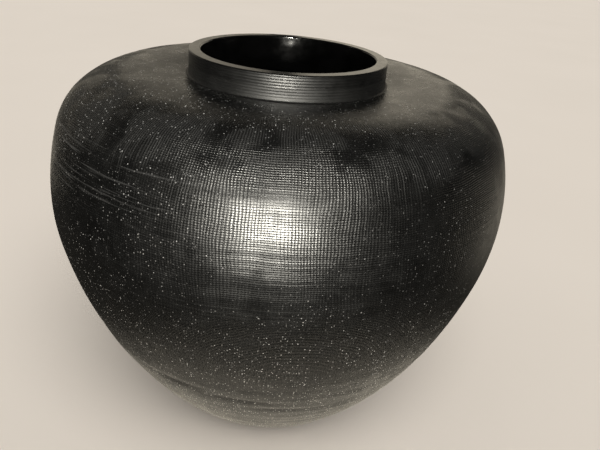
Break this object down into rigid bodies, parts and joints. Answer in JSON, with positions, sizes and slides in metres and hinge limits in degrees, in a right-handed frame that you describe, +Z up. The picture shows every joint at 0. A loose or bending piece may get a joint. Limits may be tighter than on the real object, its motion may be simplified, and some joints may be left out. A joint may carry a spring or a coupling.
{
  "type": "clay jar",
  "caption": "Wide-shouldered burnished black clay jar with a short ringed neck, a flat lip, a cross-hatched wall and a small flat foot.",
  "frame": {"origin": "centre of the flat foot, on the surface that the jar stands on", "axes": "+Z up along the jar's axis; the jar is turned about it, so X and Y are free"},
  "size_m": [0.2499, 0.25, 0.2158],
  "materials": {
    "hatched_clay": "smoke-fired black clay, burnished to a satin over a fine cross-hatch of comb lines, with pale mineral specks",
    "polished_clay": "smoke-fired black clay, wiped smooth and burnished"
  },
  "bodies": {
    "root": {"base_pad": "hatched_clay", "lower_course": "hatched_clay", "middle_course": "hatched_clay", "belly_course": "hatched_clay", "upper_course": "hatched_clay", "shoulder_course": "hatched_clay", "neck_collar": "hatched_clay", "lip_coil": "polished_clay"}
  },
  "joints": []
}
